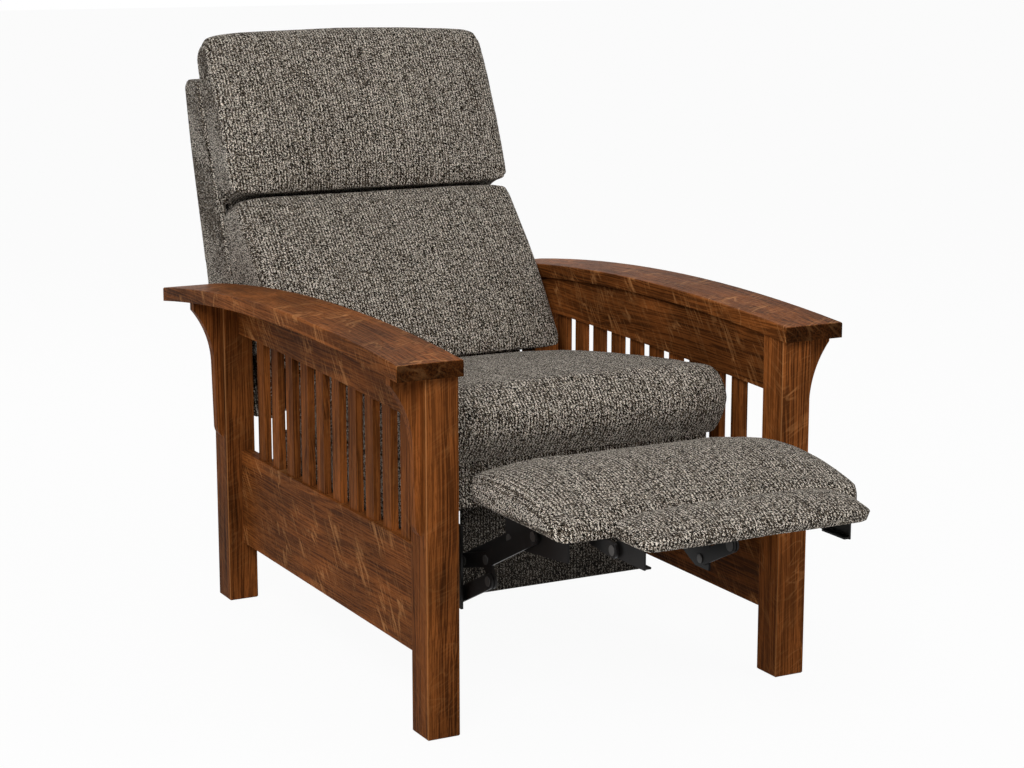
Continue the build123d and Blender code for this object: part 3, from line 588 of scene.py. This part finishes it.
def shaped(piece, crest, ends, sides):
    """Raises the top's middle by crest and its ends by ends, and moves both sides out."""
    spot = points(piece)
    low, high = spot.min(axis=0), spot.max(axis=0)
    across = np.abs(spot[:, X]) / high[X]
    height = np.clip((spot[:, Z] - low[Z]) / (high[Z] - low[Z]) * LIFT_RISE, 0.0, 1.0)
    spot[:, Z] += height * (crest * (1.0 - across**2) + ends * across**END_POWER)
    spot[:, X] *= 1.0 + sides / high[X]
    set_points(piece, spot)


def board_under(node, spread):
    """A board's copy, wider on all sides and a little way up in its pad."""
    board = copied(node, "board")
    spot = points(board)
    low, high = spot.min(axis=0), spot.max(axis=0)
    middle, reach = (low + high) / 2, (high - low) / 2
    spot = middle + (spot - middle) * (reach + np.array((spread, spread, 0.0))) / reach
    spot[:, Z] += np.where(spot[:, Z] > middle[Z], BOARD_LIFT, 0.0)
    set_points(board, spot)
    return board


def cushion(
    node,
    name,
    body,
    *,
    voxel,
    exposed,
    flat,
    proud=None,
    rim=0.975,
    form=(0, 0, 0),
    board=None,
):
    """A stuffed piece: its node's form remeshed, filled, capped, rumpled and seamed at both ends.

    exposed is the way its showing side faces and flat the way its resting side does. proud is
    how far it may swell, rim the share of its half width where its ends are held, form its
    crest, ends and sides as shaped takes them, and board the node under it with its spread.
    """
    piece = copied(node, name)
    replaced = [node]
    if board:
        replaced.append(board[0])
        under = board_under(*board)
        alone(piece)
        under.select_set(True)
        bpy.ops.object.join()
    applied(piece, "REMESH", mode="VOXEL", voxel_size=voxel)
    shaped(piece, *form)
    proud = proud or sizes().proud
    full, direction = points(piece), normals(piece)
    across = np.abs(full[:, X])
    half = across.max()
    slim = full - direction * sizes().slimming
    set_points(piece, slim)
    resting = direction @ np.array(flat) > RESTING
    rims = np.abs(across - rim * half) < voxel * RIM_WIDTH
    filled(piece, resting | rims)
    moved = points(piece) - slim
    set_points(piece, swelled(full, moved, direction, exposed, proud))
    applied(piece, "SUBSURF", levels=1, render_levels=1)
    rumple = bpy.data.textures.get("Rumple") or bpy.data.textures.new("Rumple", "CLOUDS")
    rumple.noise_scale = sizes().rumple_spacing
    rumple.noise_depth = 2
    applied(
        piece,
        "DISPLACE",
        strength=sizes().rumple_height,
        mid_level=0.5,
        texture=rumple,
        texture_coords="LOCAL",
    )
    across = np.abs(points(piece)[:, X])
    seamed(piece, np.abs(across - (across.max() - sizes().seam_inset)))
    finished(piece, body, finish_named("Tweed", tweed), *replaced)


def wrapped(node, name, body, ease, material, hem=0.0):
    """A board or rail with fabric pulled tight round its edges and hanging under it by hem."""
    piece = copied(node, name)
    spot = points(piece)
    middle = (spot[:, Z].min() + spot[:, Z].max()) / 2
    spot[:, Z] -= np.where(spot[:, Z] < middle, hem, 0.0)
    set_points(piece, spot)
    applied(piece, "BEVEL", width=ease, segments=3, limit_method="ANGLE", angle_limit=radians(40))
    finished(piece, body, material, node)
    alone(piece)
    bpy.ops.object.shade_smooth_by_angle(angle=radians(50))


# Operators


class CHAIR_OT_stage(bpy.types.Operator):
    """Sets up the floor, the lamps, the surroundings and the camera"""

    bl_idname = "chair.stage"
    bl_label = "Stage"

    def execute(self, context):
        context.scene.view_settings.view_transform = "Standard"
        self.floor()
        self.surroundings()
        self.lamps()
        self.camera()
        return {"FINISHED"}

    def floor(self):
        """A pale floor that is nearly white to the eye and still keeps the chair's shadow."""
        bpy.ops.object.select_all(action="DESELECT")
        bpy.ops.mesh.primitive_plane_add(size=FLOOR_SIZE, location=(0.0, 0.0, 0.0))
        floor = bpy.context.object
        floor.name = "floor"
        finish = Finish("Floor", 0.9, Specular_IOR_Level=0.1)
        speck = finish.noise(finish.place(), FLOOR_SPECK)
        pale = tuple(colours().floor)
        finish.wear(finish.mix(speck, pale, tuple(level * 0.985 for level in pale)))
        path = finish.node("ShaderNodeLightPath")
        camera, glossy, clear = (Shade(finish, path.outputs[name]) for name in BACKGROUND_RAYS)
        seen = camera.maths("MAXIMUM", glossy).maths("MAXIMUM", clear)
        glow = finish.out(
            "ShaderNodeEmission", 0, {}, {"Color": (1.0, 1.0, 1.0, 1.0), "Strength": 1.0}
        )
        both = finish.node(
            "ShaderNodeMixShader",
            {},
            {0: seen * FLOOR_GLOW, 1: Shade(finish, finish.surface.outputs[0]), 2: glow},
        )
        output = finish.tree.nodes["Material Output"]
        finish.tree.links.new(both.outputs[0], output.inputs["Surface"])
        floor.data.materials.append(finish.material)

    def surroundings(self):
        """White where the camera or a reflection sees them, and dimmer as a light."""
        world = bpy.data.worlds.new("Studio")
        world.use_nodes = True
        bpy.context.scene.world = world
        tree = world.node_tree
        air = tree.nodes["Background"]
        air.inputs["Color"].default_value = (1.0, 1.0, 1.0, 1.0)
        path = tree.nodes.new("ShaderNodeLightPath")
        seen = path.outputs[BACKGROUND_RAYS[0]]
        for name in BACKGROUND_RAYS[1:]:
            most = tree.nodes.new("ShaderNodeMath")
            most.operation = "MAXIMUM"
            tree.links.new(seen, most.inputs[0])
            tree.links.new(path.outputs[name], most.inputs[1])
            seen = most.outputs[0]
        level = tree.nodes.new("ShaderNodeMapRange")
        level.inputs["To Min"].default_value = AIR_LEVEL
        level.inputs["To Max"].default_value = 1.0
        tree.links.new(seen, level.inputs["Value"])
        tree.links.new(level.outputs["Result"], air.inputs["Strength"])

    def lamps(self):
        for name, spot, size, power in LAMPS:
            bpy.ops.object.light_add(type="AREA", location=spot)
            lamp = bpy.context.object
            lamp.name = name
            lamp.data.size = size
            lamp.data.energy = power
            aim = Vector(LAMP_TARGET) - Vector(spot)
            lamp.rotation_euler = aim.to_track_quat("-Z", "Y").to_euler()

    def camera(self):
        bpy.ops.object.camera_add(
            location=CAMERA_PLACE, rotation=[radians(angle) for angle in CAMERA_TURN]
        )
        camera = bpy.context.object
        camera.data.lens = CAMERA_LENS
        camera.data.sensor_width = CAMERA_FILM
        camera.data.dof.use_dof = False
        bpy.context.scene.camera = camera


class CHAIR_OT_woodwork(bpy.types.Operator):
    """Stains the legs, arms, panels, aprons, slats, corbels and rear rail"""

    bl_idname = "chair.woodwork"
    bl_label = "Woodwork"

    def execute(self, context):
        # corners place the painted highlight along the legs' arrises
        corners = self.corners()
        cuts = [corner.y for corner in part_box("left_arm")]
        left_legs = finish_named(
            "Oak legs", oak, Z, fleck=0.16, tone=0.86, shift=3.1, corners=corners
        )
        # The right legs are the same oak as the left legs, painted much lighter (tone 1.38 against
        # 0.86): painted light for the far legs, which the lamps leave in shade
        right_legs_painted_light = finish_named(
            "Oak right legs", oak, Z, fleck=0.3, tone=1.38, shift=4.4, corners=corners
        )
        boards = finish_named("Oak boards", oak, Y, fleck=1.0)
        # cuts darken the arms' end faces: end grain and painted shade
        arms = finish_named("Oak arms", oak, Y, fleck=0.85, shift=5.7, cuts=cuts)
        slats = finish_named("Oak slats", oak, Z, fleck=0.12, tone=1.06, shift=8.3)
        rails = finish_named("Oak rails", oak, X, fleck=0.8, shift=2.2)
        dress([f"{end}_left_leg" for end in ENDS], left_legs)
        dress([f"{end}_right_leg" for end in ENDS], right_legs_painted_light)
        dress([f"{end}_{side}_corbel" for end in ENDS for side in SIDES], slats)
        for side in SIDES:
            dress([f"{side}_side_panel", f"{side}_apron"], boards)
            dress([f"{side}_arm"], arms)
            dress([f"{side}_slats"], slats)
        dress(["rear_rail"], rails)
        return {"FINISHED"}

    def corners(self):
        """The legs' middle, their distance from it and their half width, in X and then Y."""
        low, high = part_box("front_left_leg")
        far_low, far_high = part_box("rear_right_leg")
        return [
            (
                (low[axis] + far_high[axis]) / 2,
                (far_low[axis] + far_high[axis] - low[axis] - high[axis]) / 4,
                (high[axis] - low[axis]) / 2,
            )
            for axis in (X, Y)
        ]


class CHAIR_OT_metalwork(bpy.types.Operator):
    """Paints the linkage, channels and brackets and plates the screws"""

    bl_idname = "chair.metalwork"
    bl_label = "Metalwork"

    links = (
        "side_plate",
        "swing_link",
        "rear_link",
        "long_link",
        "upper_link",
        "footrest_bracket",
    )

    def execute(self, context):
        palette = colours()
        black = finish_named(
            "Black steel",
            paint,
            tuple(palette.steel_paint),
            roughness=0.4,
            fleck=0.8,
            Specular_IOR_Level=0.16,
        )
        plated = finish_named(
            "Zinc plate", paint, tuple(palette.zinc), roughness=0.34, fleck=0.3, Metallic=1.0
        )
        worn = finish_named(
            "Worn steel", paint, tuple(palette.worn_steel), roughness=0.3, fleck=0.5, Metallic=0.6
        )
        dress([f"{side}_{link}" for side in SIDES for link in self.links], black)
        dress(["base_channels", "cross_tubes", "hinge_ears", "hinge_brackets"], black)
        dress(["flipper_arms"], black)
        dress(["plate_pins", "rear_link_rivets", "swing_rivets"], worn)
        dress(["footrest_rivets", "shoe_pins"], worn)
        dress(["channel_screws", "plate_screws"], plated)
        return {"FINISHED"}


class CHAIR_OT_hidden_frame(bpy.types.Operator):
    """Finishes the hidden hardwood, the webbing and the nylon shoes"""

    bl_idname = "chair.hidden_frame"
    bl_label = "Hidden frame"

    def execute(self, context):
        wood = finish_named("Bare wood", bare_wood)
        shoes = finish_named("Nylon", paint, tuple(colours().nylon), roughness=0.5, fleck=0.1)
        dress(["back_top_rail", "back_bottom_rail", "rear_seat_rail"], wood)
        dress(["back_stiles"], finish_named("Tweed", tweed))
        dress(["seat_webbing"], finish_named("Webbing", strap))
        dress(["glide_shoes"], shoes)
        return {"FINISHED"}


class CHAIR_OT_seat(bpy.types.Operator):
    """Upholsters the seat: cushion, front border, side rails and front panel"""

    bl_idname = "chair.seat"
    bl_label = "Seat"

    def execute(self, context):
        cloth = finish_named("Tweed", tweed)
        # The front panel's cover is the same tweed painted much darker (tone 0.28): painted shade
        # for the shadow under the seat and footrest
        painted_shade_tweed = finish_named("Shaded tweed", tweed, tone=0.28)
        cushion(
            "seat_cushion",
            "seat_cover",
            "seat",
            voxel=0.0065,
            exposed=(0, -0.7, 0.8),
            flat=(0, -0.0991, -0.9951),
        )
        wrapped("front_rail", "front_border", "seat", 0.002, cloth)
        wrapped("front_panel", "front_panel_cover", "seat", 0.0025, painted_shade_tweed, sizes().panel_hem)
        for side in SIDES:
            wrapped(f"{side}_seat_rail", f"{side}_seat_rail_cover", "seat", 0.002, cloth)
        return {"FINISHED"}


class CHAIR_OT_back(bpy.types.Operator):
    """Upholsters the back: shell, lumbar pillow and head pillow"""

    bl_idname = "chair.back"
    bl_label = "Back"

    lean = (0, 0.9225, -0.3859)
    outside = (0.0, 0.93, 0.37)
    crown = 0.006
    seam_inset = 0.007
    seam_facing = 0.55
    low_swell = 0.003
    high_swell = 0.007
    arm_top = 0.64
    swell_rise = 0.2

    def execute(self, context):
        cushion(
            "lumbar_pillow",
            "lumbar_cover",
            "back",
            voxel=0.006,
            exposed=(0, -1, 0.1),
            flat=self.lean,
            form=(0, 0, 0.003),
        )
        cushion(
            "head_pillow",
            "head_cover",
            "back",
            voxel=0.006,
            exposed=(0, -0.8, 0.6),
            flat=self.lean,
            form=(0.018, 0.010, 0.005),
        )
        self.shell()
        return {"FINISHED"}

    def shell(self):
        """The tight cover round the back's frame, crowned behind, with a seam by each rear edge.

        Its sides swell more above the arms than between them.
        """
        piece = copied("back_shell", "shell_cover")
        applied(piece, "REMESH", mode="VOXEL", voxel_size=0.004)
        applied(piece, "SMOOTH", factor=0.5, iterations=6)
        spot, direction = points(piece), normals(piece)
        half = np.abs(spot[:, X]).max()
        outward = np.clip(direction @ np.array(self.outside), 0.0, 1.0)
        crown = np.clip(1.0 - (spot[:, X] / half) ** 2, 0.0, 1.0) * outward * self.crown
        set_points(piece, spot + direction * crown[:, None])
        gaps = np.abs(np.abs(points(piece)[:, X]) - (half - self.seam_inset))
        seamed(piece, np.where(outward > self.seam_facing, gaps, 1.0))
        spot = points(piece)
        rise = np.clip((spot[:, Z] - self.arm_top) / self.swell_rise, 0.0, 1.0)
        swell = self.low_swell + (self.high_swell - self.low_swell) * rise
        spot[:, X] *= 1.0 + swell / half
        set_points(piece, spot)
        finished(piece, "back", finish_named("Tweed", tweed), "back_shell")


class CHAIR_OT_footrest(bpy.types.Operator):
    """Upholsters the footrest pad and the flipper pad"""

    bl_idname = "chair.footrest"
    bl_label = "Footrest"

    def execute(self, context):
        cushion(
            "footrest_pad",
            "footrest_cover",
            "footrest",
            voxel=0.0055,
            exposed=(0, -0.2, 1),
            flat=(0, 0, -1),
            proud=0.004,
            rim=0.985,
            form=(0, 0.013, 0.006),
            board=("footrest_board", 0.012),
        )
        cushion(
            "flipper_pad",
            "flipper_cover",
            "flipper",
            voxel=0.0045,
            exposed=(0, -0.4, 1),
            flat=(0, 0, -1),
            proud=0.003,
            rim=0.985,
            form=(0, 0.001, 0),
            board=("flipper_board", 0.006),
        )
        return {"FINISHED"}


class CHAIR_PT_panel(bpy.types.Panel):
    """Lists the chair's pieces and their colours and sizes"""

    bl_idname = "CHAIR_PT_panel"
    bl_label = "Reclining Armchair"
    bl_space_type = "VIEW_3D"
    bl_region_type = "UI"
    bl_category = "Armchair"

    def draw(self, context):
        layout = self.layout
        for step in steps:
            layout.operator(step.bl_idname)
        for group in (context.scene.chair_colours, context.scene.chair_sizes):
            box = layout.box()
            for name in group.__annotations__:
                box.prop(group, name)


steps = (
    CHAIR_OT_stage,
    CHAIR_OT_woodwork,
    CHAIR_OT_metalwork,
    CHAIR_OT_hidden_frame,
    CHAIR_OT_seat,
    CHAIR_OT_back,
    CHAIR_OT_footrest,
)
classes = (ChairColours, ChairSizes, *steps, CHAIR_PT_panel)


def register():
    for made in classes:
        bpy.utils.register_class(made)
    bpy.types.Scene.chair_colours = PointerProperty(type=ChairColours)
    bpy.types.Scene.chair_sizes = PointerProperty(type=ChairSizes)


def unregister():
    del bpy.types.Scene.chair_sizes
    del bpy.types.Scene.chair_colours
    for made in reversed(classes):
        bpy.utils.unregister_class(made)


def main():
    register()
    bpy.ops.chair.stage()
    bpy.ops.chair.woodwork()
    bpy.ops.chair.metalwork()
    bpy.ops.chair.hidden_frame()
    bpy.ops.chair.seat()
    bpy.ops.chair.back()
    bpy.ops.chair.footrest()


if __name__ == "__main__":
    main()
